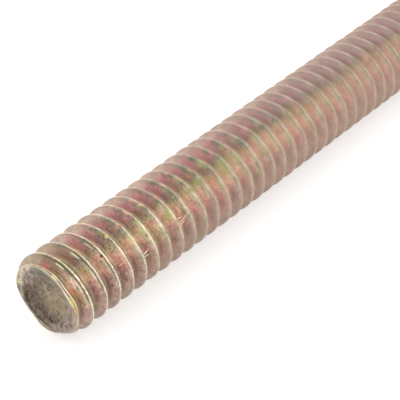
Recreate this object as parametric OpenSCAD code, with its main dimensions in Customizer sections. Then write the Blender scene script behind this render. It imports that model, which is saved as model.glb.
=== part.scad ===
// Threaded rod: one piece of steel with a right-hand thread rolled along its whole length.
// The thread's grooves run out in a raised rim at one end, round the cup that rolling leaves.
// The other end is cut off square, with a small chamfer.
// The rod lies along X with its middle at the origin and the cupped end towards -X.

/* [Rod] */
// Overall length, from the cupped end to the plain end
rod_l = 76.2; // [30:0.1:80]

/* [Thread] */
// Diameter over the crests
thread_d = 6.2; // [5.4:0.01:6.4]
// Distance along the rod from one turn to the next
pitch = 1.27; // [1.1:0.01:1.5]
// Angle between the two sides of the groove
groove_angle = 60; // [55:1:75]
// Width of the crest, which rolling leaves a little short of its full form
crest_w = 0.25; // [0.15:0.01:0.4]
// Width of the flat at the bottom of the groove
root_w = 0.2; // [0.1:0.01:0.3]
// Place of the first whole crest on the +Y side, from the cupped end
first_crest = 0.68; // [0:0.01:1.1]
// Number of steps in one turn
turn_steps = 24; // [16:4:24]

/* [Cupped end] */
// Height of the bevel between the crests and the rim's outer edge
rim_drop = 0.4; // [0.2:0.01:0.5]
// Angle of that bevel from the end face
rim_bevel = 50; // [30:1:65]
// Width of the rim between its outer edge and the cup
rim_w = 0.38; // [0.2:0.01:0.5]
// Length over which the rim falls away into the first groove
rim_l = 0.5; // [0.3:0.01:0.9]
// Depth of the cup's steep wall
cup_wall = 0.3; // [0.1:0.01:0.5]
// Width of that wall, seen along the rod
cup_slope = 0.3; // [0.1:0.01:0.5]
// Further depth of the dished floor inside the wall
dish_depth = 0.22; // [0.05:0.01:0.4]

/* [Plain end] */
// Height and length of the chamfer
chamfer = 0.45; // [0.2:0.01:0.8]

/* [Hidden] */

cup_x = -rod_l / 2;             // end face round the cup
plain_x = rod_l / 2;            // plain end face
crest_r = thread_d / 2;
groove_depth = (pitch - crest_w - root_w) / 2 / tan(groove_angle / 2);
root_r = crest_r - groove_depth;
rim_r = crest_r - rim_drop;     // outer edge of the rim
mouth_r = rim_r - rim_w;        // mouth of the cup
floor_r = mouth_r - cup_slope;  // foot of the cup's wall
clear_r = crest_r + 1;          // a radius outside the whole rod
dish_steps = 3;

// Outline of one turn, along the rod and out from its axis, from crest to crest
turn_outline = [
    [-crest_w / 2, crest_r],
    [crest_w / 2, crest_r],
    [(pitch - root_w) / 2, root_r],
    [(pitch + root_w) / 2, root_r],
];
corners = len(turn_outline);

// The helix starts a turn before the cupped end and stops just past the plain end
lead_steps = turn_steps + ceil((first_crest + crest_w) / pitch * turn_steps);
steps = lead_steps + ceil((rod_l - first_crest + crest_w) / pitch * turn_steps);

// A corner of the outline after so many steps along the helix
function helix_point(step, corner) =
    let (
        turned_by = (step - lead_steps) / turn_steps,
        x = cup_x + first_crest + pitch * turned_by + turn_outline[corner][0],
        r = turn_outline[corner][1]
    )
    [x, r * cos(360 * turned_by), r * sin(360 * turned_by)];

// The outline's corners at every step, then the near edge of the turn after the last
helix_points = concat(
    [for (step = [0:steps]) for (corner = [0:corners - 1]) helix_point(step, corner)],
    [for (step = [steps - turn_steps:steps]) helix_point(step, 0) + [pitch, 0, 0]]
);
first_extra = (steps + 1) * corners;

// Index of a point; one past the outline's last corner is its first corner one turn on
function point_id(step, corner) =
    corner < corners ? step * corners + corner
    : step + turn_steps <= steps ? (step + turn_steps) * corners
    : first_extra + step + turn_steps - steps;

// The strip between two steps, two triangles from corner to corner
function strip(step) = [
    for (corner = [0:corners - 1])
        let (
            a = point_id(step, corner),
            b = point_id(step, corner + 1),
            c = point_id(step + 1, corner + 1),
            d = point_id(step + 1, corner)
        )
        each [[a, b, c], [a, c, d]]
];

// Triangles from a closed loop of points to one point on the axis
function fan(loop, tip) = [
    for (i = [0:len(loop) - 1])
        [loop[(i + 1) % len(loop)], loop[i], tip]
];

// Loop round each raw end: the outline's last section, then back along one turn of its edge
start_loop = concat(
    [for (corner = [0:corners]) point_id(0, corner)],
    [for (step = [turn_steps - 1:-1:1]) point_id(step, 0)]
);
end_loop = concat(
    [for (step = [steps - turn_steps + 1:steps - 1]) point_id(step, corners)],
    [for (corner = [corners:-1:0]) point_id(steps, corner)]
);

// Bare helix, longer than the rod at both ends
module helix() {
    tip_x = [helix_point(0, 0)[0], helix_point(steps, 0)[0] + pitch];
    polyhedron(
        points = concat(helix_points, [for (x = tip_x) [x, 0, 0]]),
        faces = concat(
            [for (step = [0:steps - 1]) each strip(step)],
            fan(start_loop, len(helix_points)),
            fan(end_loop, len(helix_points) + 1)
        ),
        convexity = 10
    );
}

// A solid of revolution about the rod's axis, from points given as radius and place along X
module turned(outline) {
    rotate([0, 90, 0]) rotate_extrude($fn = turn_steps) polygon(outline);
}

// Everything inside the two end faces, the bevel of the rim and the chamfer
module end_limits() {
    turned([
        [0, cup_x],
        [rim_r, cup_x],
        [clear_r, cup_x + (clear_r - rim_r) * tan(rim_bevel)],
        [clear_r, plain_x - chamfer - (clear_r - crest_r)],
        [crest_r - chamfer, plain_x],
        [0, plain_x],
    ]);
}

// Raised rim, where the groove hasn't reached its depth
module rim() {
    turned([[0, cup_x], [rim_r, cup_x], [floor_r, cup_x + rim_l], [0, cup_x + rim_l]]);
}

// Steep wall and dished floor of the cup
module cup() {
    dish = [
        for (i = [0:dish_steps])
            let (share = i / dish_steps)
            [floor_r * (1 - share), cup_x + cup_wall + dish_depth * (1 - pow(1 - share, 2))]
    ];
    turned(concat([[0, cup_x - 1], [mouth_r, cup_x - 1], [mouth_r, cup_x]], dish));
}

// Thread, rim and cup of the one-piece rod
module threaded_rod() {
    color("tan") difference() {
        union() {
            intersection() {
                helix();
                end_limits();
            }
            rim();
        }
        cup();
    }
}

threaded_rod();
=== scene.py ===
import math

import bpy
import numpy as np
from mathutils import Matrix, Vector


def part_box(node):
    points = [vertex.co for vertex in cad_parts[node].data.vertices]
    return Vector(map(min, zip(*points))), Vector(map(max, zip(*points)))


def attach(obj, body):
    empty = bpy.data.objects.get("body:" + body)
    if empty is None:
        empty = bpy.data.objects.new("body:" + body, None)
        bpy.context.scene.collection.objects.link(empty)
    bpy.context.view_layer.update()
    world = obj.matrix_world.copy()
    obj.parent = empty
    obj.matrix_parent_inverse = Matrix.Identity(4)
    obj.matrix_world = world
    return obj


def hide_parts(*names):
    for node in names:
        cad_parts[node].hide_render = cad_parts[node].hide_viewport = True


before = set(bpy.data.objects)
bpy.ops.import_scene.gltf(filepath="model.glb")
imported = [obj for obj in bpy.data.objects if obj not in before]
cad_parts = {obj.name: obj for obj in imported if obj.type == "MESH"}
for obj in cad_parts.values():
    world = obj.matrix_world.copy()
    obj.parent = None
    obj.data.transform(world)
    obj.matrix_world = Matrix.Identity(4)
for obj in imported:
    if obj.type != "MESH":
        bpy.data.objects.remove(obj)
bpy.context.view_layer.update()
mm = 0.001

lowCorner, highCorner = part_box("threaded_rod")
cupEnd = lowCorner.x  # metres; everything below is in millimetres from this end
rodLength = (highCorner.x - lowCorner.x) / mm
crestRadius = (highCorner.z - lowCorner.z) / 2 / mm

view = {
    "turned": -49.399,  # degrees, round the upright axis
    "raised": 38.783,  # degrees above the floor
    "place": (-48.471, -54.962, 66.763),
    "lens": 134.32,
    "sensor": 36.0,
    "clip": (0.002, 10.0),  # metres
}

floor = {
    "size": 1600.0,
    "paper": (0.86, 0.86, 0.86, 1),
    "glow": 0.50,  # added for the camera and in reflections only
}

sky = {"white": 1.0, "ambient": 0.72}

# place and aim in millimetres from the cupped end, size in millimetres, power in watts
lamps = {
    "keyLamp": {"place": (150, -135, 120), "aim": (15, 0, 0), "size": (150, 110), "power": 0.045},
    "topLamp": {"place": (140, 120, 190), "aim": (15, 0, 0), "size": (200, 160), "power": 0.12},
    "endLamp": {"place": (-190, 20, 90), "aim": (5, 0, 0), "size": (150, 150), "power": 0.04},
}


def softMin(a, b, k):
    return -k * np.logaddexp(-a / k, -b / k)


def softMax(a, b, k):
    return k * np.logaddexp(a / k, b / k)


def smoothStep(low, high, value):
    t = np.clip((value - low) / (high - low), 0, 1)
    return t * t * (3 - 2 * t)


def fromCupEnd(place):
    return Vector((cupEnd + place[0] * mm, place[1] * mm, place[2] * mm))


# Camera, floor and lights

def addObject(name, data):
    added = bpy.data.objects.new(name, data)
    bpy.context.scene.collection.objects.link(added)
    return added


def placeCamera():
    lens = bpy.data.cameras.new("camera")
    lens.sensor_width = view["sensor"]
    lens.lens = view["lens"]
    lens.clip_start, lens.clip_end = view["clip"]
    camera = addObject("camera", lens)
    camera.location = fromCupEnd(view["place"])
    camera.rotation_euler = (math.radians(90 - view["raised"]), 0, math.radians(view["turned"]))
    bpy.context.scene.camera = camera


def seenDirectly(tree):
    # 1 for rays from the camera and for those that a mirror or glass sends on
    path = addNode(tree, "LightPath")
    either = calc(tree, "MAXIMUM", path.outputs["Is Camera Ray"], path.outputs["Is Glossy Ray"])
    return calc(tree, "MAXIMUM", either, path.outputs["Is Transmission Ray"])


def layFloor():
    half = floor["size"] / 2
    corners = [(-half, -half, 0), (half, -half, 0), (half, half, 0), (-half, half, 0)]
    low = fromCupEnd((rodLength / 2, 0, -crestRadius))
    mesh = bpy.data.meshes.new("floor")
    mesh.from_pydata([low + Vector(corner) * mm for corner in corners], [], [(0, 1, 2, 3)])
    material, tree, output = newMaterial("whitePaper")
    matte = addNode(tree, "BsdfDiffuse", {"Color": floor["paper"]})
    glow = addNode(tree, "Emission", {"Strength": times(tree, seenDirectly(tree), floor["glow"])})
    both = addNode(tree, "AddShader", {0: matte.outputs[0], 1: glow.outputs[0]})
    feed(tree, output.inputs["Surface"], both.outputs[0])
    mesh.materials.append(material)
    addObject("floor", mesh)


def lightSky():
    world = bpy.data.worlds.new("sky")
    bpy.context.scene.world = world
    world.use_nodes = True
    tree = world.node_tree
    background = tree.nodes["Background"]
    background.inputs["Color"].default_value = (1, 1, 1, 1)
    strength = mixValue(tree, seenDirectly(tree), sky["ambient"], sky["white"])
    feed(tree, background.inputs["Strength"], strength)


def hangLamps():
    for name, lamp in lamps.items():
        light = bpy.data.lights.new(name, "AREA")
        light.shape = "RECTANGLE"
        light.size = lamp["size"][0] * mm
        light.size_y = lamp["size"][1] * mm
        light.energy = lamp["power"]
        holder = addObject(name, light)
        holder.location = fromCupEnd(lamp["place"])
        aim = fromCupEnd(lamp["aim"]) - holder.location
        holder.rotation_euler = aim.to_track_quat("-Z", "Y").to_euler()


# Small helpers for node trees

def newMaterial(name):
    material = bpy.data.materials.new(name)
    material.use_nodes = True
    tree = material.node_tree
    tree.nodes.clear()
    return material, tree, addNode(tree, "OutputMaterial")


def feed(tree, socket, value):
    if isinstance(value, bpy.types.NodeSocket):
        tree.links.new(value, socket)
    else:
        socket.default_value = value


def addNode(tree, kind, values=None, **settings):
    node = tree.nodes.new("ShaderNode" + kind)
    for name, setting in settings.items():
        setattr(node, name, setting)
    for socket, value in (values or {}).items():
        feed(tree, node.inputs[socket], value)
    return node


def calc(tree, operation, *values):
    return addNode(tree, "Math", dict(enumerate(values)), operation=operation).outputs[0]


def times(tree, *values):
    product, *others = values
    for value in others:
        product = calc(tree, "MULTIPLY", product, value)
    return product


def rangeMask(tree, value, low, high, kind="SMOOTHSTEP"):
    values = {"Value": value, "From Min": low, "From Max": high}
    return addNode(tree, "MapRange", values, interpolation_type=kind).outputs["Result"]


def mixValue(tree, share, first, second):
    return addNode(tree, "Mix", {0: share, 2: first, 3: second}).outputs[0]


def mixColor(tree, share, first, second):
    return addNode(tree, "Mix", {0: share, 6: first, 7: second}, data_type="RGBA").outputs[2]


def noise(tree, place, scale, detail=2.0, roughness=0.5):
    values = {"Vector": place, "Scale": scale, "Detail": detail, "Roughness": roughness}
    return addNode(tree, "TexNoise", values).outputs["Fac"]


def evenNoise(tree, place, *kind):
    # noise about zero, which moves an edge to both sides
    return calc(tree, "SUBTRACT", noise(tree, place, *kind), 0.5)


def stretch(tree, place, factors):
    return addNode(tree, "VectorMath", {0: place, 1: factors}, operation="MULTIPLY").outputs[0]


def shaded(tree, color, factor):
    values = {0: color, "Scale": factor}
    return addNode(tree, "VectorMath", values, operation="SCALE").outputs[0]


def newGroup(name, inputs, outputs):
    group = bpy.data.node_groups.new(name, "ShaderNodeTree")
    for direction, sockets in (("INPUT", inputs), ("OUTPUT", outputs)):
        for kind, labels in sockets.items():
            for label in labels:
                socketType = "NodeSocket" + kind
                group.interface.new_socket(name=label, in_out=direction, socket_type=socketType)
    given = group.nodes.new("NodeGroupInput").outputs
    result = group.nodes.new("NodeGroupOutput").inputs
    return group, given, result


def useGroup(tree, group, values):
    return addNode(tree, "Group", values, node_tree=group).outputs


def tone(red, green, blue):
    # a colour as it is picked on the screen, turned into the linear one that nodes take
    def linear(value):
        share = value / 255
        return share / 12.92 if share <= 0.04045 else ((share + 0.055) / 1.055) ** 2.4
    return (linear(red), linear(green), linear(blue), 1)


# Rod: the thread's surface as a helical grid, with the lip and cup at one end

rod = {
    "pitch": 1.27,
    "firstCrest": 0.68,  # middle of a crest, on the +Y side
    "nearHalf": 0.12,  # half widths of the crest, towards each end
    "farHalf": 0.17,
    "rootWidth": 0.20,
    "flankAngle": 30.0,
    "crestRounding": 0.020,
    "rootRounding": 0.055,
    "columns": 72,
    # one row of the mesh at each of these places across a turn, measured from the crest
    "rows": (-0.56, -0.50, -0.42, -0.33, -0.24, -0.17, -0.135, -0.11, -0.08, -0.055, -0.03,
             0.0, 0.04, 0.08, 0.12, 0.16, 0.22, 0.31, 0.41, 0.50, 0.56, 0.635),
    "overrun": 4,  # rows go on past each end by this many times its crowding
    "spareTurns": (2, 1),  # and by this many turns, before the rod and after it
    "waver": 0.012,  # how far the crests stray from true
    # steps a turn, place in the random table, share of the waver
    "edgeWavers": ((31, 0, 1.0), (67, 500, 0.7)),
    "topWaver": (17, 900),
    # at these turns the crests lie this many millimetres along from true
    "driftTurns": (0.35, 1.30, 4.5),
    "drift": (-0.110, 0.0, 0.050),
    "clearance": 0.001,  # the surface stays this far inside the solid's crests
    "tableSize": 4096,
    "seed": 7,
}

seam = {
    "place": -0.06,  # from the crest's middle, towards the cupped end
    "halfWidth": 0.022,
    "depth": 0.060,
    "raggedness": 0.25,
    "raggedSteps": (43, 1700),  # steps a turn, place in the random table
    "turns": (2.2, 4.5),  # fades out between these turns
    "angles": (80, 105, 165, 185),  # fades in and out again round the rod
}

# angles are in degrees from +Y towards +Z
lip = {
    "rimAngles": (0, 17, 29, 45, 66, 85, 103, 118, 128, 139, 148, 156, 163, 179, 192, 208,
                  226, 242, 256, 270, 285, 294, 304, 325, 341, 352, 360),
    "rimReach": (0.893, 0.878, 0.857, 0.855, 0.865, 0.850, 0.843, 0.838, 0.840, 0.800, 0.825,
                 0.855, 0.890, 0.860, 0.860, 0.880, 0.830, 0.820, 0.855, 0.882, 0.888, 0.845,
                 0.822, 0.847, 0.873, 0.898, 0.893),
    "ridgeAngles": (0, 45, 61, 80, 95, 110, 130, 141, 150, 158, 165, 179, 190, 208, 240, 300, 360),
    "ridgePlace": (0.05, 0.03, 0.06, 0.10, 0.12, 0.15, 0.13, 0.17, 0.21, 0.24, 0.22, 0.18, 0.13,
                   0.10, 0.10, 0.08, 0.05),
    "ridgeRise": (0.03, 0.03, 0.03, 0.05, 0.09, 0.20, 0.15, 0.26, 0.23, 0.23, 0.19, 0.17, 0.12,
                  0.06, 0.04, 0.03, 0.03),
    "fall": 1.3,  # slope from the ridge into the first groove
    "bevel": 0.85,  # slope from the rim up to the crests
    "rounding": 0.05,
    "crowding": 0.25,  # length over which the mesh rows gather at the end
    "foldShare": 0.45,  # place of the fold between the end face and the ridge
    "foldDepth": 0.09,
    "foldHalfWidth": 0.030,
    "foldAngles": (90, 104, 160, 172),
    "foldShade": 0.9,
    # how pale the ridge and the rim's edge are, partly worn and partly a painted highlight
    "wearAndHighlightAngles": (0, 30, 60, 100, 116, 126, 131, 137, 154, 163, 190, 212, 240, 330, 360),
    "ridgeWearAndHighlight": (0.5, 0.8, 0.95, 0.9, 0.8, 0.95, 1.0, 0.95, 0.8, 0.5, 0.45, 0.2, 0.1, 0.2, 0.5),
    "rimWearAndHighlight": (0.3, 0.2, 0.0, 0.7, 0.9, 0.5, 0.2, 0.9, 0.9, 0.1, 0.1, 0.2, 0.35, 0.4, 0.3),
    "ridgeLine": 0.050,  # half widths of those two pale lines
    "rimLine": 0.035,
}

cup = {
    "mouthAngles": (0, 12, 28, 50, 75, 105, 135, 160, 185, 205, 225, 250, 280, 310, 330, 345, 360),
    "mouthReach": (0.80, 0.775, 0.73, 0.70, 0.70, 0.72, 0.74, 0.79, 0.80, 0.74, 0.66, 0.65, 0.66,
                   0.69, 0.72, 0.79, 0.80),
    "wallWidth": 0.13,  # share of the crest radius
    "wallDepth": 0.32,
    "dishDepth": 0.20,
    "rounding": 0.045,
    "unevenness": 0.030,
    "unevenFrom": 0.1,  # depth at which the unevenness is full
    "swellAcross": (1.7, 40),  # steps a millimetre, place in the random table
    "swellUp": (2.1, 90),
    "rings": (0.985, 0.965, 0.94, 0.915, 0.89, 0.865, 0.84, 0.81, 0.78, 0.75, 0.72, 0.69, 0.66,
              0.62, 0.57, 0.50, 0.42, 0.33, 0.22, 0.11),
}

plainEnd = {
    "chamfer": 0.45,
    "rounding": 0.03,
    "crowding": 0.15,
    "rings": (0.97, 0.9, 0.7, 0.45, 0.2),
}

# slivers of metal raised from the crests
burrs = {
    "sides": 5,
    "width": 0.045,
    "tipShare": 0.4,  # width of both tips, as a share of the whole
    # each one's path: place along the rod, angle and radius
    "paths": (
        ((10.02, 151, 3.06), (10.35, 151, 3.08), (10.75, 149, 3.07), (11.15, 147, 3.06),
         (11.45, 145, 3.02)),
        ((10.05, 156, 3.06), (10.45, 154, 3.08), (10.90, 151, 3.08), (11.25, 148, 3.02)),
        ((10.02, 149, 3.06), (10.30, 145, 3.08), (10.60, 145, 3.08), (10.90, 148, 3.08)),
        ((6.42, 157, 3.07), (6.72, 156, 3.08), (7.00, 155, 3.07), (7.25, 153, 3.02)),
        ((6.50, 160, 3.07), (6.80, 160, 3.08), (7.10, 161, 3.04)),
        ((4.35, 150, 3.00), (4.60, 150, 2.96), (4.85, 149, 2.95), (5.05, 148, 3.00)),
    ),
}

zones = {"thread": 0, "cup": 1, "cut": 2}  # the order of the three finishes


def wander(table, place):
    # smooth noise along a line: a random value at each whole number, eased between them
    base = np.floor(place).astype(int)
    share = smoothStep(0, 1, place - base)
    return table[base % len(table)] * (1 - share) + table[(base + 1) % len(table)] * share


def aroundRod(angle, angles, values):
    return np.interp(np.degrees(angle) % 360, angles, values)


def inBand(value, band):
    start, full, fading, gone = band
    return smoothStep(start, full, value) * (1 - smoothStep(fading, gone, value))


def threadRadius(along, angle, table):
    partTurn = angle / (2 * math.pi)
    turns = (along - rod["firstCrest"]) / rod["pitch"] - partTurn
    whole = np.round(turns)
    helixTurn = whole + partTurn
    offset = (turns - whole) * rod["pitch"]
    offset = offset - np.interp(helixTurn, rod["driftTurns"], rod["drift"])
    slope = 1 / math.tan(math.radians(rod["flankAngle"]))
    grooveWidth = rod["pitch"] - rod["nearHalf"] - rod["farHalf"]
    rootRadius = crestRadius - slope * (grooveWidth - rod["rootWidth"]) / 2
    edge = np.where(offset < 0, rod["nearHalf"], rod["farHalf"])
    for steps, start, share in rod["edgeWavers"]:
        edge = edge + rod["waver"] * share * wander(table, helixTurn * steps + start)
    steps, start = rod["topWaver"]
    top = crestRadius - rod["waver"] * (1 + wander(table, helixTurn * steps + start))
    flank = top - slope * (np.abs(offset) - edge)
    radius = softMin(top, flank, rod["crestRounding"])
    angleShare = inBand(np.degrees(angle), seam["angles"])
    turnShare = 1 - smoothStep(*seam["turns"], helixTurn)
    steps, start = seam["raggedSteps"]
    ragged = wander(table, helixTurn * steps + start)
    ragged = (1 - seam["raggedness"]) + seam["raggedness"] * ragged
    across = (offset - seam["place"]) / seam["halfWidth"]
    radius = radius - seam["depth"] * ragged * angleShare * turnShare * np.exp(-across ** 2)
    return softMax(radius, rootRadius, rod["rootRounding"])


def foldMask(along, angle, ridgePlace):
    across = (along - lip["foldShare"] * ridgePlace) / lip["foldHalfWidth"]
    return inBand(np.degrees(angle), lip["foldAngles"]) * np.exp(-across ** 2)


def surfaceRadius(along, angle, table):
    rim = crestRadius * aroundRod(angle, lip["rimAngles"], lip["rimReach"])
    place = aroundRod(angle, lip["ridgeAngles"], lip["ridgePlace"])
    ridge = rim + aroundRod(angle, lip["ridgeAngles"], lip["ridgeRise"])
    ridge = np.minimum(ridge, crestRadius - rod["waver"])
    climb = np.sqrt(np.clip(1 - (1 - np.clip(along / place, 0, 1)) ** 2, 0, 1))
    rising = rim + (ridge - rim) * climb
    rising = rising - lip["foldDepth"] * foldMask(along, angle, place)
    falling = ridge - lip["fall"] * np.maximum(along - place, 0)
    lipRadius = np.minimum(rising, falling)
    thread = threadRadius(along, angle, table)
    bevelled = ridge + lip["bevel"] * np.maximum(along - place, 0)
    thread = softMin(thread, bevelled, lip["rounding"])
    # the thread itself starts behind the lip
    thread = np.where(along < place, np.minimum(thread, rising), thread)
    radius = softMax(thread, lipRadius, lip["rounding"])
    radius = np.where(along <= place, np.minimum(radius, rising), radius)
    chamfer = crestRadius - plainEnd["chamfer"] + (rodLength - along)
    return softMin(np.minimum(radius, crestRadius - rod["clearance"]), chamfer, plainEnd["rounding"])


# pale lines along the ridge and the rim's edge, partly wear and partly a painted highlight, brightest
# round the top
def lipWearAndHighlight(along, angle):
    place = aroundRod(angle, lip["ridgeAngles"], lip["ridgePlace"])
    ridge = np.exp(-((along - place) / lip["ridgeLine"]) ** 2)
    ridge = ridge * aroundRod(angle, lip["wearAndHighlightAngles"], lip["ridgeWearAndHighlight"])
    rim = np.exp(-(along / lip["rimLine"]) ** 2)
    rim = rim * aroundRod(angle, lip["wearAndHighlightAngles"], lip["rimWearAndHighlight"])
    return np.maximum(ridge, rim)


# painted shade along the lip's fold
def lipFoldShade(along, angle):
    place = aroundRod(angle, lip["ridgeAngles"], lip["ridgePlace"])
    return lip["foldShade"] * foldMask(along, angle, place)


def cupDepth(radius, angle, table):
    mouth = crestRadius * aroundRod(angle, cup["mouthAngles"], cup["mouthReach"])
    foot = mouth - cup["wallWidth"] * crestRadius
    wall = cup["wallDepth"] * (mouth - radius) / (mouth - foot)
    dish = cup["wallDepth"] + cup["dishDepth"] * (1 - np.clip(radius / foot, 0, 1) ** 2)
    depth = softMax(softMin(wall, dish, cup["rounding"]), 0 * wall, cup["rounding"])
    steps, start = cup["swellAcross"]
    swell = wander(table, np.cos(angle) * radius * steps + start)
    steps, start = cup["swellUp"]
    swell = swell + wander(table, np.sin(angle) * radius * steps + start)
    inside = smoothStep(0, cup["unevenFrom"], depth)
    return np.maximum(depth + cup["unevenness"] * swell * inside, 0)


def polar(along, angle, radius):
    return np.stack([along, radius * np.cos(angle), radius * np.sin(angle)], -1)


def addCorners(shape, places, wearAndHighlight=0.0, foldShading=0.0):
    ids = shape["count"] + np.arange(len(places))
    shape["places"].append(places)
    shape["lipWearAndHighlight"].append(np.broadcast_to(wearAndHighlight, len(places)))
    shape["lipFoldShade"].append(np.broadcast_to(foldShading, len(places)))
    shape["count"] += len(places)
    return ids


def addFaces(shape, faces, zone):
    shape["faces"] += faces
    shape["zones"] += [zones[zone]] * len(faces)


def ringFaces(first, second):
    count = len(first)
    return [
        (first[i], second[i], second[(i + 1) % count], first[(i + 1) % count])
        for i in range(count)
    ]


def fanFaces(middle, ring):
    return [(middle, ring[i], ring[(i + 1) % len(ring)]) for i in range(len(ring))]


def tidyFaces(quads):
    # rows that were gathered onto an end ring leave triangles, or nothing
    faces = [list(dict.fromkeys(corners)) for corners in quads.tolist()]
    return [face for face in faces if len(face) > 2]


def threadRows():
    # where each row starts on the +Y side, with spare rows past both ends
    nearMargin = rod["overrun"] * lip["crowding"]
    farMargin = rod["overrun"] * plainEnd["crowding"]
    firstTurn = math.floor((-nearMargin - rod["firstCrest"]) / rod["pitch"]) - rod["spareTurns"][0]
    lastTurn = math.ceil((rodLength + farMargin - rod["firstCrest"]) / rod["pitch"])
    turns = np.arange(firstTurn, lastTurn + rod["spareTurns"][1] + 1)
    rows = rod["firstCrest"] + rod["pitch"] * turns[:, None] + np.array(rod["rows"])[None, :]
    return rows.ravel(), nearMargin, farMargin


def addThread(shape, angles, table):
    columns = len(angles)
    rows, nearMargin, farMargin = threadRows()
    raw = rows[:, None] + rod["pitch"] * angles[None, :] / (2 * math.pi)
    near = raw < -nearMargin
    far = raw > rodLength + farMargin
    eased = lip["crowding"] * np.logaddexp(0, raw / lip["crowding"])
    left = rodLength - raw
    easedLeft = plainEnd["crowding"] * np.logaddexp(0, left / plainEnd["crowding"])
    along = np.where(raw < rodLength / 2, eased, rodLength - easedLeft)

    # rows past an end gather on that end's ring
    kept = ~(near | far)
    ids = np.zeros(raw.shape, int)
    ids[kept] = np.arange(kept.sum())
    nearRing = kept.sum() + np.arange(columns)
    farRing = nearRing + columns
    ids = np.where(near, nearRing[None, :], ids)
    ids = np.where(far, farRing[None, :], ids)
    angleGrid = np.broadcast_to(angles[None, :], raw.shape)
    along = np.concatenate([along[kept], np.zeros(columns), np.full(columns, rodLength)])
    angle = np.concatenate([angleGrid[kept], angles, angles])
    radius = surfaceRadius(along, angle, table)
    addCorners(shape, polar(along, angle, radius), lipWearAndHighlight(along, angle), lipFoldShade(along, angle))

    # one turn further on at the last column, so the grid closes on itself as a helix does
    nextIds = np.empty_like(ids)
    nextIds[:, :-1] = ids[:, 1:]
    shifted = np.minimum(np.arange(len(rows)) + len(rod["rows"]), len(rows) - 1)
    nextIds[:, -1] = ids[shifted, 0]
    quads = np.stack([ids[:-1], ids[1:], nextIds[1:], nextIds[:-1]], -1).reshape(-1, 4)
    addFaces(shape, tidyFaces(quads), "thread")
    return (nearRing, radius[nearRing]), (farRing, radius[farRing])


def addCup(shape, angles, rim, table):
    ring, rimRadius = rim
    for share in cup["rings"]:
        radius = rimRadius * share
        corners = polar(cupDepth(radius, angles, table), angles, radius)
        fromEdge = np.full(len(angles), (1 - share) * crestRadius)
        newRing = addCorners(shape, corners, lipWearAndHighlight(fromEdge, angles))
        addFaces(shape, ringFaces(newRing, ring), "cup")
        ring = newRing
    onAxis = np.zeros(1)
    middle = addCorners(shape, polar(cupDepth(onAxis, onAxis, table), onAxis, onAxis))
    addFaces(shape, fanFaces(middle[0], ring), "cup")


def addPlainEnd(shape, angles, edge):
    ring, endRadius = edge
    for share in plainEnd["rings"]:
        corners = polar(np.full(len(angles), rodLength), angles, endRadius * share)
        newRing = addCorners(shape, corners)
        addFaces(shape, ringFaces(ring, newRing), "cut")
        ring = newRing
    middle = addCorners(shape, np.array([[rodLength, 0, 0]]))
    fan = [(tip, second, first) for tip, first, second in fanFaces(middle[0], ring)]
    addFaces(shape, fan, "cut")


def burrRing(point, atTip):
    along, angle, radius = point
    width = burrs["width"] * (burrs["tipShare"] if atTip else 1)
    turned = np.arange(burrs["sides"]) * 2 * math.pi / burrs["sides"]
    radii = np.minimum(radius + width * np.sin(turned), crestRadius - rod["clearance"])
    around = math.radians(angle) + width * np.cos(turned) / radius
    return polar(np.full(burrs["sides"], along), around, radii)


def addBurrs(shape):
    for path in burrs["paths"]:
        ring = None
        for step, point in enumerate(path):
            newRing = addCorners(shape, burrRing(point, step in (0, len(path) - 1)))
            if ring is not None:
                addFaces(shape, ringFaces(ring, newRing), "thread")
            ring = newRing


def rodShape():
    table = np.random.default_rng(rod["seed"]).uniform(-1, 1, rod["tableSize"])
    angles = np.arange(rod["columns"]) * 2 * math.pi / rod["columns"]
    shape = {"places": [], "lipWearAndHighlight": [], "lipFoldShade": [], "faces": [], "zones": [], "count": 0}
    rim, edge = addThread(shape, angles, table)
    addCup(shape, angles, rim, table)
    addPlainEnd(shape, angles, edge)
    addBurrs(shape)
    return shape


def makeRod():
    shape = rodShape()
    corners = np.concatenate(shape["places"]) * mm + np.array([cupEnd, 0, 0])
    faces = [[int(i) for i in face] for face in shape["faces"]]
    mesh = bpy.data.meshes.new("chromateRod")
    mesh.from_pydata(corners.tolist(), [], faces)
    mesh.polygons.foreach_set("use_smooth", [True] * len(faces))
    mesh.polygons.foreach_set("material_index", shape["zones"])
    for name in ("lipWearAndHighlight", "lipFoldShade"):
        values = np.concatenate(shape[name])
        mesh.attributes.new(name, "FLOAT", "POINT").data.foreach_set("value", values)
    mesh.update()
    print("rod:", len(mesh.vertices), "corners,", len(faces), "faces")
    return addObject("chromateRod", mesh)


# Node groups that the finishes share

def helixPlaceGroup():
    group, given, result = newGroup(
        "helixPlace",
        {"Vector": ["Place", "Cup End"], "Float": ["Pitch", "First Crest"]},
        {"Vector": ["Millimetres"], "Float": ["Along", "Radius", "Around", "Phase", "Turn"]},
    )
    ends = {0: given["Place"], 1: given["Cup End"]}
    moved = addNode(group, "VectorMath", ends, operation="SUBTRACT").outputs[0]
    scaled = stretch(group, moved, (1 / mm, 1 / mm, 1 / mm))
    x, y, z = addNode(group, "SeparateXYZ", {0: scaled}).outputs
    squares = calc(group, "ADD", times(group, y, y), times(group, z, z))
    turnShare = times(group, calc(group, "ARCTAN2", z, y), 1 / (2 * math.pi))
    around = calc(group, "FRACT", calc(group, "ADD", turnShare, 1.0))
    turns = calc(group, "DIVIDE", calc(group, "SUBTRACT", x, given["First Crest"]), given["Pitch"])
    unwound = calc(group, "SUBTRACT", turns, around)
    whole = calc(group, "ROUND", unwound)
    feed(group, result["Millimetres"], scaled)
    feed(group, result["Along"], x)
    feed(group, result["Radius"], calc(group, "SQRT", squares))
    feed(group, result["Around"], around)
    feed(group, result["Phase"], calc(group, "SUBTRACT", unwound, whole))
    feed(group, result["Turn"], calc(group, "ADD", whole, around))
    return group
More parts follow.
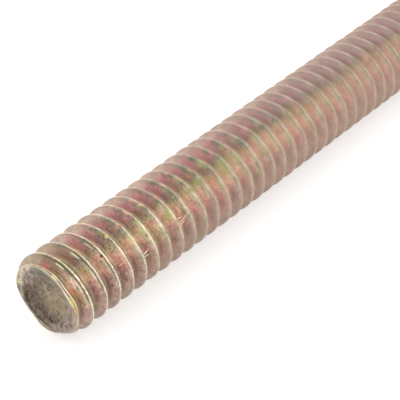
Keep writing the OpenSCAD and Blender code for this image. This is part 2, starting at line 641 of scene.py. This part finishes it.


# colours that chromate takes on; the paler salmon and straw also stand partly for a painted highlight
tints = {
    "tan": tone(196, 172, 156),
    "rose": tone(202, 144, 146),
    "pink": tone(222, 134, 140),
    "plum": tone(176, 138, 142),
    "umber": tone(184, 156, 142),
    "olive": tone(200, 184, 154),
    "moss": tone(174, 178, 116),
    "sand": tone(172, 158, 130),
    "straw": tone(200, 182, 156),
    "salmon": tone(246, 194, 180),
    "ember": tone(232, 162, 136),
    "brick": tone(222, 172, 166),
    "mauve": tone(178, 144, 136),
    "taupe": tone(170, 148, 134),
    "greyGreen": tone(122, 117, 101),
}

chromate = {
    # the two bands of a turn, each at angles in degrees
    # salmon and straw, paler where the rod faces the light, are partly a painted highlight
    "flank": (
        (0, "taupe"), (60, "tan"), (79, "rose"), (92, "rose"), (103, "plum"), (111, "umber"),
        (118, "olive"), (131, "salmon"), (143, "salmon"), (155, "brick"), (170, "mauve"),
        (186, "mauve"), (212, "taupe"), (238, "tan"), (258, "rose"), (282, "olive"),
        (304, "salmon"), (330, "mauve"),
    ),
    "shoulder": (
        (0, "taupe"), (55, "tan"), (74, "taupe"), (88, "greyGreen"), (112, "greyGreen"),
        (121, "sand"), (129, "straw"), (146, "straw"), (160, "taupe"), (190, "taupe"),
        (220, "taupe"), (250, "greyGreen"), (275, "olive"), (300, "straw"), (330, "taupe"),
    ),
    "drawnOut": (0.75, 1.0, 1.0),  # stretches the noise that moves the bands and the moss
    "drawnIn": (1.2, 0.8, 0.8),  # and that of the warm patches
    "strayScale": 0.65,
    # patches: scale of the noise, and its values at which they start and are full
    "mossPatch": (1.0, 0.50, 0.66),
    "pinkPatch": (1.1, 0.52, 0.68),
    "emberPatch": (1.6, 0.55, 0.70),
    "mossFrom": (0.24, 0.29),  # shares of a turn round the rod
    "cloud": (1.9, 4.0, 0.65),  # scale, detail and roughness
    "cloudRange": (0.30, 0.72),
}


def tintRamp(tree, place, order):
    ramp = addNode(tree, "ValToRGB", {"Fac": place})
    stops = ramp.color_ramp.elements
    stops[0].position = 0
    stops[0].color = tints[order[0][1]]
    stops[1].position = 1
    stops[1].color = tints[order[0][1]]
    for angle, name in order[1:]:
        stops.new(angle / 360).color = tints[name]
    return ramp.outputs["Color"]


def patches(tree, place, settings):
    scale, start, full = settings
    return rangeMask(tree, noise(tree, place, scale), start, full)


def chromateTintAndHighlightGroup():
    group, given, result = newGroup(
        "chromateTintAndHighlight",
        {"Vector": ["Millimetres"],
         "Float": ["Around", "Shoulder", "Straying", "Patches", "Blotches"]},
        {"Color": ["Color"]},
    )
    drawnOut = stretch(group, given["Millimetres"], chromate["drawnOut"])
    drawnIn = stretch(group, given["Millimetres"], chromate["drawnIn"])
    wave = evenNoise(group, drawnOut, chromate["strayScale"])
    strayed = calc(group, "MULTIPLY_ADD", wave, given["Straying"], given["Around"])
    strayed = calc(group, "FRACT", calc(group, "ADD", strayed, 1.0))
    flank = tintRamp(group, strayed, chromate["flank"])
    shoulder = tintRamp(group, strayed, chromate["shoulder"])
    color = mixColor(group, given["Shoulder"], flank, shoulder)
    mossy = patches(group, drawnOut, chromate["mossPatch"])
    mossy = times(group, mossy, rangeMask(group, given["Around"], *chromate["mossFrom"]))
    pink = patches(group, drawnIn, chromate["pinkPatch"])
    glowing = patches(group, drawnIn, chromate["emberPatch"])
    for mask, name in ((mossy, "moss"), (pink, "pink"), (glowing, "ember")):
        color = mixColor(group, times(group, mask, given["Patches"]), color, tints[name])
    cloud = noise(group, given["Millimetres"], *chromate["cloud"])
    cloud = rangeMask(group, cloud, *chromate["cloudRange"], "LINEAR")
    lowest = calc(group, "SUBTRACT", 1.0, given["Blotches"])
    highest = calc(group, "ADD", 1.0, given["Blotches"])
    feed(group, result["Color"], shaded(group, color, mixValue(group, cloud, lowest, highest)))
    return group


scratches = {
    # share of the group's own scale, detail and roughness
    "coarse": (0.5, 4.0, 0.7),
    "fine": (1.6, 3.0, 0.65),
    "streaks": (1.0, 3.0, 0.7),
    "skew": (1.6, 0.7, 0.9),  # stretches the fine noise
    "streakSteps": (7.0, 7.0, 26.0),  # to a millimetre along and out, and to a turn
    "contrast": 7.0,
    "speckRange": (0.57, 0.68),  # of the fine noise
    "pitRange": (0.43, 0.34),  # of the coarse noise
}


def grainGroup():
    group, given, result = newGroup(
        "grain",
        {"Vector": ["Millimetres"], "Float": ["Along", "Radius", "Around", "Size", "Contrast"]},
        {"Float": ["Height", "Shade", "Specks", "Pits"]},
    )
    scale = calc(group, "DIVIDE", 1.0, given["Size"])
    share, *kind = scratches["coarse"]
    coarse = noise(group, given["Millimetres"], times(group, scale, share), *kind)
    skewed = stretch(group, given["Millimetres"], scratches["skew"])
    share, *kind = scratches["fine"]
    fine = noise(group, skewed, times(group, scale, share), *kind)
    polarPlace = {0: given["Along"], 1: given["Radius"], 2: given["Around"]}
    drawn = addNode(group, "CombineXYZ", polarPlace).outputs[0]
    drawn = stretch(group, drawn, scratches["streakSteps"])
    streaks = noise(group, drawn, *scratches["streaks"])
    total = calc(group, "ADD", calc(group, "ADD", coarse, fine), streaks)
    mean = times(group, total, 1 / 3)
    centred = times(group, calc(group, "SUBTRACT", mean, 0.5), scratches["contrast"])
    feed(group, result["Height"], mean)
    feed(group, result["Shade"], calc(group, "MULTIPLY_ADD", centred, given["Contrast"], 1.0))
    feed(group, result["Specks"], rangeMask(group, fine, *scratches["speckRange"]))
    feed(group, result["Pits"], rangeMask(group, coarse, *scratches["pitRange"]))
    return group


# What the three finishes have in common

def rodPlace(tree, helixPlace):
    return useGroup(tree, helixPlace, {
        "Place": addNode(tree, "TexCoord").outputs["Object"],
        "Cup End": (cupEnd, 0, 0),
        "Pitch": rod["pitch"],
        "First Crest": rod["firstCrest"],
    })


def onSurface(tree, group, place, values):
    # a shared group, fed with the surface's own place and with the values that a finish gives it
    names = [item.name for item in group.interface.items_tree if item.in_out == "INPUT"]
    return useGroup(tree, group, {name: place[name] for name in names if name in place} | values)


def coat(tree, output, finish, color, specks, height):
    bump = addNode(tree, "Bump", {"Distance": finish["bump"] * mm, "Height": height})
    shader = addNode(tree, "BsdfPrincipled", {
        "Base Color": color,
        "Metallic": finish["metallic"],
        "Roughness": mixValue(tree, specks, finish["roughness"], finish["speckRoughness"]),
        "Normal": bump.outputs["Normal"],
    })
    feed(tree, output.inputs["Surface"], shader.outputs[0])


def between(tree, value, band):
    # two numbers: eased from 0 at the first to 1 at the second; four: and back to 0 at the last
    mask = rangeMask(tree, value, band[0], band[1])
    if len(band) == 4:
        mask = times(tree, mask, rangeMask(tree, value, band[3], band[2]))
    return mask


def anyBand(tree, value, bands):
    # one band or several; none leaves the value as it is
    if not bands:
        return value
    if not isinstance(bands[0], tuple):
        return between(tree, value, bands)
    mask = between(tree, value, bands[0])
    for band in bands[1:]:
        mask = calc(tree, "MAXIMUM", mask, between(tree, value, band))
    return mask


def stained(tree, color, at, stains):
    # each row: a tint, or a factor that shades; the strength, or its least and greatest at the
    # last of the bands; and the bands, in all of which the stain lies
    for tint, strength, where in stains:
        masks = [anyBand(tree, at[name], bands) for name, bands in where.items()]
        if isinstance(strength, tuple):
            least, strength = strength
            masks[-1] = mixValue(tree, masks[-1], least / strength, 1.0)
        if not isinstance(tint, tuple):
            tint = shaded(tree, color, tint)
        color = mixColor(tree, times(tree, *masks, strength), color, tint)
    return color


def painted(tree, name):
    return addNode(tree, "Attribute", attribute_name=name).outputs["Fac"]


markCore = 0.55  # a mark is full within this share of its reach
# colour, place in millimetres from the cupped end, reach in millimetres, strength
marks = (
    (tone(206, 128, 126), (0.48, 0.40, 2.43), 0.34, 0.75),
    (tone(206, 128, 126), (0.51, 0.05, 2.47), 0.30, 0.70),
    (tone(190, 142, 110), (0.53, -0.47, 2.37), 0.30, 0.55),
    (tone(216, 142, 116), (0.70, -1.98, 1.45), 0.34, 0.75),
    # a painted highlight, yellow-cream, on the upper rim
    (tone(234, 226, 180), (0.14, -1.00, 2.60), 0.36, 0.80),
    (tone(222, 214, 150), (0.26, -2.62, 1.26), 0.56, 0.80),
    (tone(214, 172, 118), (0.28, -2.86, 0.72), 0.46, 0.70),
    (tone(178, 176, 178), (0.74, 0.25, 2.87), 0.14, 0.50),
    (tone(62, 58, 68), (3.57, -1.82, 2.51), 0.15, 0.95),
    (tone(222, 212, 140), (4.95, -1.05, 2.91), 0.22, 0.70),
    (tone(206, 136, 124), (0.02, 2.44, 1.14), 0.20, 0.80),
    (tone(120, 124, 136), (0.02, 2.66, -0.50), 0.26, 0.80),
    (tone(156, 158, 84), (0.02, 2.53, -0.82), 0.18, 0.80),
    # painted glints: two small highlights on the cup's edge
    (tone(240, 226, 190), (0.25, 1.02, -1.66), 0.09, 0.95),
    (tone(230, 206, 180), (0.25, 0.39, -1.91), 0.07, 0.90),
    (tone(92, 84, 100), (0.30, 1.15, -1.30), 0.16, 0.40),
    (tone(78, 64, 54), (0.10, -1.31, -1.63), 0.21, 0.85),
    (tone(78, 64, 54), (0.10, -1.85, -1.32), 0.20, 0.85),
    (tone(96, 82, 70), (0.06, -2.28, -0.92), 0.20, 0.70),
    (tone(92, 80, 62), (0.45, -0.17, 1.10), 0.32, 0.70),
    (tone(196, 180, 162), (0.15, 1.49, 1.14), 0.26, 0.70),
    (tone(184, 170, 150), (0.12, 0.83, 1.81), 0.22, 0.55),
    (tone(204, 194, 170), (0.12, -1.55, -1.42), 0.09, 0.60),
)


def markedColor(tree, millimetres, ragged, color):
    for tint, centre, reach, strength in marks:
        gap = addNode(tree, "VectorMath", {0: millimetres, 1: centre}, operation="DISTANCE")
        uneven = calc(tree, "MULTIPLY_ADD", ragged, reach, gap.outputs["Value"])
        mask = rangeMask(tree, uneven, reach, reach * markCore)
        color = mixColor(tree, times(tree, mask, strength), color, tint)
    return color


# Finish of the thread: angles in degrees, places along the rod in millimetres, and phases and
# turns in turns of the helix. A band gives where it starts, is full, fades and is gone

evenUntil = (48.0, 64.0)  # the finish gets livelier again towards the plain end
litSide = (112, 126, 148, 162)  # faces the light

threadFinish = {
    "crestColor": tone(238, 224, 196),
    "crestRose": tone(212, 190, 172),
    "crestYellow": tone(226, 212, 128),
    "seamShadeColor": tone(80, 80, 60),
    "ragged": (4.5, 4.0, 0.7),  # noise that frays the edges: scale, detail, roughness
    "cloudNoise": (0.6, 3.0),
    "blotNoise": (0.9, 2.0),
    "rubNoise": (3.2, 4.0, 0.65),
    "rubRange": (0.38, 0.56),
    # how far the noise moves those edges
    "shoulderFray": 0.26,
    "rootFray": 0.06,
    "seamFray": 0.05,
    "wearFray": 0.06,
    "yellowFray": 8.0,
    # where the shoulder's tints take over from the flank's, and where they come earlier
    "shoulderPhases": (-0.27, -0.10),
    "earlyShoulder": (118, 128, 140, 152),
    "earlyBy": 0.07,
    "chromate": {"Straying": 0.07, "Blotches": 0.17},
    # patches are strong on the lively sides, and fewer further on
    "livelySides": ((66, 80, 146, 176), (236, 256, 326, 350)),
    "patches": (0.14, 0.44),
    "patchesFade": ((14.0, 34.0) + evenUntil, 0.55),
    # scuffs: strength, the sides that have them, and how they fade
    "grainSize": 0.20,
    "scuffs": 0.62,
    "scuffFade": ((3.0, 13.0) + evenUntil, 0.22),
    "scuffSides": (92, 116, 170, 196),
    "scuffLeast": 0.55,
    "litScuffFade": ((4.0, 24.0) + evenUntil, 0.25),
    "litScuffs": (108, 118, 148, 160),
    "roughness": 0.40,
    "speckRoughness": 0.55,
    "metallic": 0.85,
    "bump": 0.008,
}

threadStains = (
    # moss in clouds
    (tone(172, 182, 112), 0.62, {
        "cloud": (0.46, 0.60),
        "angle": ((110, 118, 130, 142), (272, 284, 300, 314)),
        "along": ((3.5, 6.0, 13.0, 22.0), (44.0, 54.0, 66.0, 74.0))}),
    # scuffs, as pale specks and brown pits
    (tone(224, 210, 178), 0.62, {"specks": (), "scuffed": ()}),
    (tone(92, 80, 66), 0.38, {"pits": (), "scuffed": (), "angle": (178, 148)}),
    # the first turns are browner, as the groove is shallow there
    (tone(162, 146, 116), 0.55, {"turn": (2.4, 0.9), "angle": (20, 45, 96, 124)}),
    (tone(122, 108, 82), 0.70, {"turn": (1.7, 0.5), "angle": (70, 82, 102, 118)}),
    # pale flank behind the crest, partly a painted highlight that is strongest where it faces the
    # light
    (tone(244, 226, 206), (0.10, 0.60), {
        "phase": (0.09, 0.15, 0.40, 0.48), "angle": (112, 124, 152, 166)}),
    # browner and darker at the bottom of the groove, more so on the side that faces the light
    (tone(150, 134, 92), (0.34, 0.52), {"frayedRadius": (0.86, 0.79), "angle": litSide}),
    # painted shade in the grooves low on the near turns
    (0.70, 1.0, {"radius": (0.92, 0.80), "along": (10.5, 5.0), "angle": (140, 160, 215, 240)}),
    # further on the grooves are painted paler, a painted lift of their shade, and the tints even and
    # greyer
    (tone(226, 202, 186), (0.05, 0.40), {"radius": (0.94, 0.80), "along": (7.0, 22.0) + evenUntil}),
    (tone(188, 160, 144), 0.30, {"along": (16.0, 36.0) + evenUntil}),
    (tone(170, 150, 146), 0.55, {"angle": (58, 72, 102, 118), "along": (13.0, 27.0) + evenUntil}),
    # painted shade in the fold along the crest on the first turns, and a painted highlight on a line
    # inside it
    (threadFinish["seamShadeColor"], 0.85, {
        "frayedPhase": (-0.095, -0.065, -0.030, -0.005),
        "angle": (62, 88, 156, 172),
        "turn": (4.2, 1.6)}),
    (threadFinish["crestColor"], 0.75, {
        "frayedPhase": (-0.165, -0.140, -0.115, -0.095),
        "angle": ((97, 101, 109, 114), (130, 134, 146, 152)),
        "turn": (3.0, 1.8)}),
    # painted shade: on the side that faces the light the crests are darker further on
    (0.73, 1.0, {"angle": litSide, "along": (7.0, 15.0) + evenUntil, "radius": (0.955, 0.985)}),
)

crestWearAndHighlight = {
    "radius": (0.955, 0.975),  # shares of the crest radius at which it starts and is full
    "phases": (0.005, 0.045),  # shares of a turn behind the crest's middle, at which it does
    "edgePhases": (0.055, 0.085),  # the edge behind is always bright, a painted highlight
    "rubbedLeast": 0.50,
    "fade": ((6.0, 15.0) + evenUntil, 0.36),
    "laterFade": ((17.0, 30.0) + evenUntil, 0.45),
    # strength before that edge: on most turns, on the first ones, and at the dimmer angles round the
    # top
    "strength": 0.72,
    "boldStrength": 0.98,
    "boldTurns": (3.2, 1.7),
    "dimmerStrength": 0.24,
    "dimmerAngles": (74, 86, 106, 116),
    "rosy": (70, 84, 98, 112),
    "rosyBelow": (164, 178, 215, 240),
    "rosyBelowTurns": (1.6, 3.4),
    "rosyShare": 0.8,
    "yellow": (101, 104, 110, 114),
    "yellowShare": 0.8,
    "blots": (0.60, 0.70),
    "blotShare": 0.4,
    "lipLeast": 0.60,  # how much of the lip's line stays where it isn't rubbed
}


def crestDrift(tree, turn):
    # as a share of a turn, the same drift as the mesh has
    early, true, late = rod["driftTurns"]
    first = rangeMask(tree, turn, true, early, "LINEAR")
    last = rangeMask(tree, turn, true, late, "LINEAR")
    first = times(tree, first, rod["drift"][0] / rod["pitch"])
    return calc(tree, "MULTIPLY_ADD", last, rod["drift"][2] / rod["pitch"], first)


def fadeAlong(tree, at, fade):
    # 1 towards the rod's ends, and the share that is left along its middle
    band, left = fade
    return mixValue(tree, between(tree, at["along"], band), 1.0, left)


def scuffing(tree, at):
    side = between(tree, at["angle"], threadFinish["scuffSides"])
    side = mixValue(tree, side, threadFinish["scuffLeast"], 1.0)
    scuffed = times(tree, fadeAlong(tree, at, threadFinish["scuffFade"]), side)
    lit = between(tree, at["angle"], threadFinish["litScuffs"])
    lit = times(tree, fadeAlong(tree, at, threadFinish["litScuffFade"]), lit)
    return calc(tree, "MAXIMUM", scuffed, lit)


def wornAndLitShare(tree, at, rubbed):
    start = calc(tree, "MULTIPLY_ADD", at["ragged"], threadFinish["wearFray"], at["phase"])
    crestBand = between(tree, start, crestWearAndHighlight["phases"])
    crestBand = times(tree, crestBand, between(tree, at["radius"], crestWearAndHighlight["radius"]))
    bold = between(tree, at["turn"], crestWearAndHighlight["boldTurns"])
    bold = mixValue(tree, bold, crestWearAndHighlight["strength"], crestWearAndHighlight["boldStrength"])
    dimmerAngles = between(tree, at["angle"], crestWearAndHighlight["dimmerAngles"])
    share = mixValue(tree, dimmerAngles, bold, crestWearAndHighlight["dimmerStrength"])
    share = mixValue(tree, between(tree, start, crestWearAndHighlight["edgePhases"]), share, 1.0)
    rubbed = mixValue(tree, rubbed, crestWearAndHighlight["rubbedLeast"], 1.0)
    fade = fadeAlong(tree, at, crestWearAndHighlight["fade"])
    laterFade = fadeAlong(tree, at, crestWearAndHighlight["laterFade"])
    return times(tree, share, rubbed, fade, laterFade, crestBand)


def wornAndLitColor(tree, at):
    rosyBelow = between(tree, at["angle"], crestWearAndHighlight["rosyBelow"])
    laterTurns = between(tree, at["turn"], crestWearAndHighlight["rosyBelowTurns"])
    rosyBelow = times(tree, rosyBelow, laterTurns)
    rosy = calc(tree, "MAXIMUM", between(tree, at["angle"], crestWearAndHighlight["rosy"]), rosyBelow)
    rosy = times(tree, rosy, crestWearAndHighlight["rosyShare"])
    color = mixColor(tree, rosy, threadFinish["crestColor"], threadFinish["crestRose"])
    frayed = calc(tree, "MULTIPLY_ADD", at["ragged"], threadFinish["yellowFray"], at["angle"])
    yellow = between(tree, frayed, crestWearAndHighlight["yellow"])
    yellow = times(tree, yellow, crestWearAndHighlight["yellowShare"])
    blots = noise(tree, at["millimetres"], *threadFinish["blotNoise"])
    blots = times(tree, between(tree, blots, crestWearAndHighlight["blots"]), crestWearAndHighlight["blotShare"])
    yellow = calc(tree, "MAXIMUM", yellow, blots)
    return mixColor(tree, yellow, color, threadFinish["crestYellow"])


def threadMaterial(helixPlace, chromateTintAndHighlight, grain):
    material, tree, output = newMaterial("threadChromate")
    place = rodPlace(tree, helixPlace)
    ragged = evenNoise(tree, place["Millimetres"], *threadFinish["ragged"])
    phase = calc(tree, "SUBTRACT", place["Phase"], crestDrift(tree, place["Turn"]))
    radius = calc(tree, "DIVIDE", place["Radius"], crestRadius)
    at = {
        "millimetres": place["Millimetres"],
        "along": place["Along"],
        "turn": place["Turn"],
        "angle": times(tree, place["Around"], 360),
        "phase": phase,
        "frayedPhase": calc(tree, "MULTIPLY_ADD", ragged, threadFinish["seamFray"], phase),
        "radius": radius,
        "frayedRadius": calc(tree, "MULTIPLY_ADD", ragged, threadFinish["rootFray"], radius),
        "ragged": ragged,
        "cloud": noise(tree, place["Millimetres"], *threadFinish["cloudNoise"]),
    }
    climb = calc(tree, "MULTIPLY_ADD", ragged, threadFinish["shoulderFray"], phase)
    early = between(tree, at["angle"], threadFinish["earlyShoulder"])
    climb = calc(tree, "MULTIPLY_ADD", early, threadFinish["earlyBy"], climb)
    shoulder = between(tree, climb, threadFinish["shoulderPhases"])
    lively = anyBand(tree, at["angle"], threadFinish["livelySides"])
    patchShare = mixValue(tree, lively, *threadFinish["patches"])
    fewer = fadeAlong(tree, at, threadFinish["patchesFade"])
    values = {"Shoulder": shoulder, "Patches": times(tree, patchShare, fewer)}
    color = onSurface(tree, chromateTintAndHighlight, place, threadFinish["chromate"] | values)["Color"]

    # the near turns are scuffed, those further on are smooth
    at["scuffed"] = scuffing(tree, at)
    contrast = times(tree, at["scuffed"], threadFinish["scuffs"])
    values = {"Size": threadFinish["grainSize"], "Contrast": contrast}
    detail = onSurface(tree, grain, place, values)
    at["specks"] = detail["Specks"]
    at["pits"] = detail["Pits"]
    color = stained(tree, shaded(tree, color, detail["Shade"]), at, threadStains)

    # pale metal where the crests are worn, and a painted highlight along their far edge
    rubbed = noise(tree, place["Millimetres"], *threadFinish["rubNoise"])
    rubbed = between(tree, rubbed, threadFinish["rubRange"])
    wornAndLitMetal = shaded(tree, wornAndLitColor(tree, at), detail["Shade"])
    color = mixColor(tree, wornAndLitShare(tree, at, rubbed), color, wornAndLitMetal)

    # painted shade along the lip's fold, pale lines along the lip that are partly a painted highlight,
    # then single marks, some of them painted highlights
    color = mixColor(tree, painted(tree, "lipFoldShade"), color, threadFinish["seamShadeColor"])
    lipLine = mixValue(tree, rubbed, crestWearAndHighlight["lipLeast"], 1.0)
    lipLine = times(tree, painted(tree, "lipWearAndHighlight"), lipLine)
    color = mixColor(tree, lipLine, color, threadFinish["crestColor"])
    color = markedColor(tree, place["Millimetres"], ragged, color)
    coat(tree, output, threadFinish, color, detail["Specks"], detail["Height"])
    return material


# Finish of the cup and its rim: radii are shares of the crest radius

cupFinish = {
    "floorColor": tone(144, 128, 102),
    "wornAndLitColor": tone(222, 208, 174),
    "tintShare": 0.15,
    "chromate": {"Shoulder": 0.5, "Straying": 0.3, "Patches": 0.3, "Blotches": 0.1},
    "ragged": (1.8, 5.0, 0.7),  # scale, detail and roughness
    "radiusFray": 0.16,
    "angleFray": 30.0,
    "grain": {"Size": 0.24, "Contrast": 0.74},
    "roughness": 0.46,
    "speckRoughness": 0.6,
    "metallic": 0.75,
    "bump": 0.02,
}

cupColors = {
    "browner": tone(116, 99, 88),
    "wall": tone(104, 89, 77),
    "band": tone(108, 110, 92),
    "creamRimHighlight": tone(194, 184, 158),
    "palerRim": tone(164, 153, 132),
    "mauveRim": tone(156, 138, 130),
    "darkLine": tone(66, 54, 48),
    "specks": tone(196, 182, 154),
    "pits": tone(78, 64, 56),
}

cupZones = (
    (cupColors["browner"], 0.85, {"turned": (-115, -60, 70, 100), "radius": (0.10, 0.42, 0.90, 0.95)}),
    (cupColors["mauveRim"], 0.75, {"turned": (-20, 10, 70, 88), "radius": (0.46, 0.56, 0.74, 0.82)}),
    # painted shade: a dark crescent on the cup's wall on the lower side
    (cupColors["wall"], 0.92, {"angle": (218, 250, 350, 378), "radius": (0.36, 0.52, 0.82, 0.87)}),
    # painted shade inside the rim on the upper side
    (cupColors["band"], 0.85, {"angle": (50, 66, 142, 165), "radius": (0.44, 0.60, 1.00, 1.10)}),
    (cupColors["mauveRim"], 0.75, {"angle": (140, 158, 205, 225), "radius": (0.46, 0.60, 1.00, 1.10)}),
    (cupColors["mauveRim"], 0.80, {"angle": (190, 205, 262, 280), "radius": (0.58, 0.68, 1.00, 1.10)}),
    (cupColors["palerRim"], 0.85, {"angle": (262, 280, 350, 368), "radius": (0.74, 0.79, 1.00, 1.10)}),
    # thin dark lines along the top and the foot of the wall on the lower side
    (cupColors["darkLine"], 0.72, {"angle": (258, 270, 338, 352), "radius": (0.66, 0.69, 0.72, 0.75)}),
    (cupColors["darkLine"], 0.55, {"angle": (248, 262, 300, 325), "radius": (0.55, 0.575, 0.59, 0.62)}),
    # painted highlight on the rim's bevel round the top, where it catches the light
    (cupColors["creamRimHighlight"], 0.90, {"turned": (-14, 0, 58, 74), "radius": (0.70, 0.76, 1.00, 1.10)}),
)
cupSpots = (
    (cupColors["specks"], 0.30, {"specks": ()}),
    (cupColors["pits"], 0.25, {"pits": ()}),
)


def cupMaterial(helixPlace, chromateTintAndHighlight, grain):
    material, tree, output = newMaterial("cupChromate")
    place = rodPlace(tree, helixPlace)
    detail = onSurface(tree, grain, place, cupFinish["grain"])
    tint = onSurface(tree, chromateTintAndHighlight, place, cupFinish["chromate"])["Color"]
    ragged = evenNoise(tree, place["Millimetres"], *cupFinish["ragged"])
    radius = calc(tree, "DIVIDE", place["Radius"], crestRadius)
    angle = times(tree, place["Around"], 360)
    angle = calc(tree, "MULTIPLY_ADD", ragged, cupFinish["angleFray"], angle)
    # the angle from -180 to 180 degrees, so that bands can cross the +Y side
    turned = calc(tree, "SUBTRACT", angle, 180)
    turned = calc(tree, "SUBTRACT", turned, times(tree, calc(tree, "SIGN", turned), 180))
    at = {
        "angle": angle,
        "turned": turned,
        "radius": calc(tree, "MULTIPLY_ADD", ragged, cupFinish["radiusFray"], radius),
        "specks": detail["Specks"],
        "pits": detail["Pits"],
    }
    color = mixColor(tree, cupFinish["tintShare"], cupFinish["floorColor"], tint)
    color = stained(tree, color, at, cupZones)
    color = stained(tree, shaded(tree, color, detail["Shade"]), at, cupSpots)
    # pale lines along the rim, partly wear and partly a painted highlight
    color = mixColor(tree, painted(tree, "lipWearAndHighlight"), color, cupFinish["wornAndLitColor"])
    color = markedColor(tree, place["Millimetres"], ragged, color)
    coat(tree, output, cupFinish, color, detail["Specks"], detail["Height"])
    return material


cutFinish = {
    "color": tone(184, 170, 144),
    "edgeColor": tone(206, 194, 164),
    "edgeInside": (0.50, 0.42),  # millimetres inside the crests, where the chamfer starts
    "edgeShare": 0.5,
    "sawStretch": (1.0, 0.35, 9.0),
    "sawNoise": (1.0, 4.0, 0.65),  # scale, detail and roughness
    "sawMarks": 1.1,
    "tintShare": 0.22,
    "chromate": {"Shoulder": 0.5, "Straying": 0.2, "Patches": 0.15, "Blotches": 0.08},
    "grain": {"Size": 0.30, "Contrast": 0.25},
    "roughness": 0.40,
    "speckRoughness": 0.5,
    "metallic": 0.85,
    "bump": 0.012,
}


def cutMaterial(helixPlace, chromateTintAndHighlight, grain):
    material, tree, output = newMaterial("cutChromate")
    place = rodPlace(tree, helixPlace)
    tint = onSurface(tree, chromateTintAndHighlight, place, cutFinish["chromate"])["Color"]
    detail = onSurface(tree, grain, place, cutFinish["grain"])
    color = mixColor(tree, cutFinish["tintShare"], cutFinish["color"], tint)
    # fine parallel lines that the saw left
    drawn = stretch(tree, place["Millimetres"], cutFinish["sawStretch"])
    sawn = noise(tree, drawn, *cutFinish["sawNoise"])
    lines = calc(tree, "SUBTRACT", sawn, 0.5)
    lines = calc(tree, "MULTIPLY_ADD", lines, cutFinish["sawMarks"], 1.0)
    color = shaded(tree, color, times(tree, lines, detail["Shade"]))
    start, full = cutFinish["edgeInside"]
    edge = rangeMask(tree, place["Radius"], crestRadius - start, crestRadius - full)
    edge = times(tree, edge, cutFinish["edgeShare"])
    color = mixColor(tree, edge, color, cutFinish["edgeColor"])
    coat(tree, output, cutFinish, color, detail["Specks"], sawn)
    return material


bpy.context.scene.view_settings.view_transform = "Standard"
placeCamera()
layFloor()
lightSky()
hangLamps()
print("stage: camera, floor, sky and", len(lamps), "lamps")

rodPiece = makeRod()
sharedGroups = (helixPlaceGroup(), chromateTintAndHighlightGroup(), grainGroup())
# in the order that zones gives
for makeFinish in (threadMaterial, cupMaterial, cutMaterial):
    rodPiece.data.materials.append(makeFinish(*sharedGroups))
print("finishes:", [material.name for material in rodPiece.data.materials])

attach(rodPiece, "root")
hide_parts("threaded_rod")
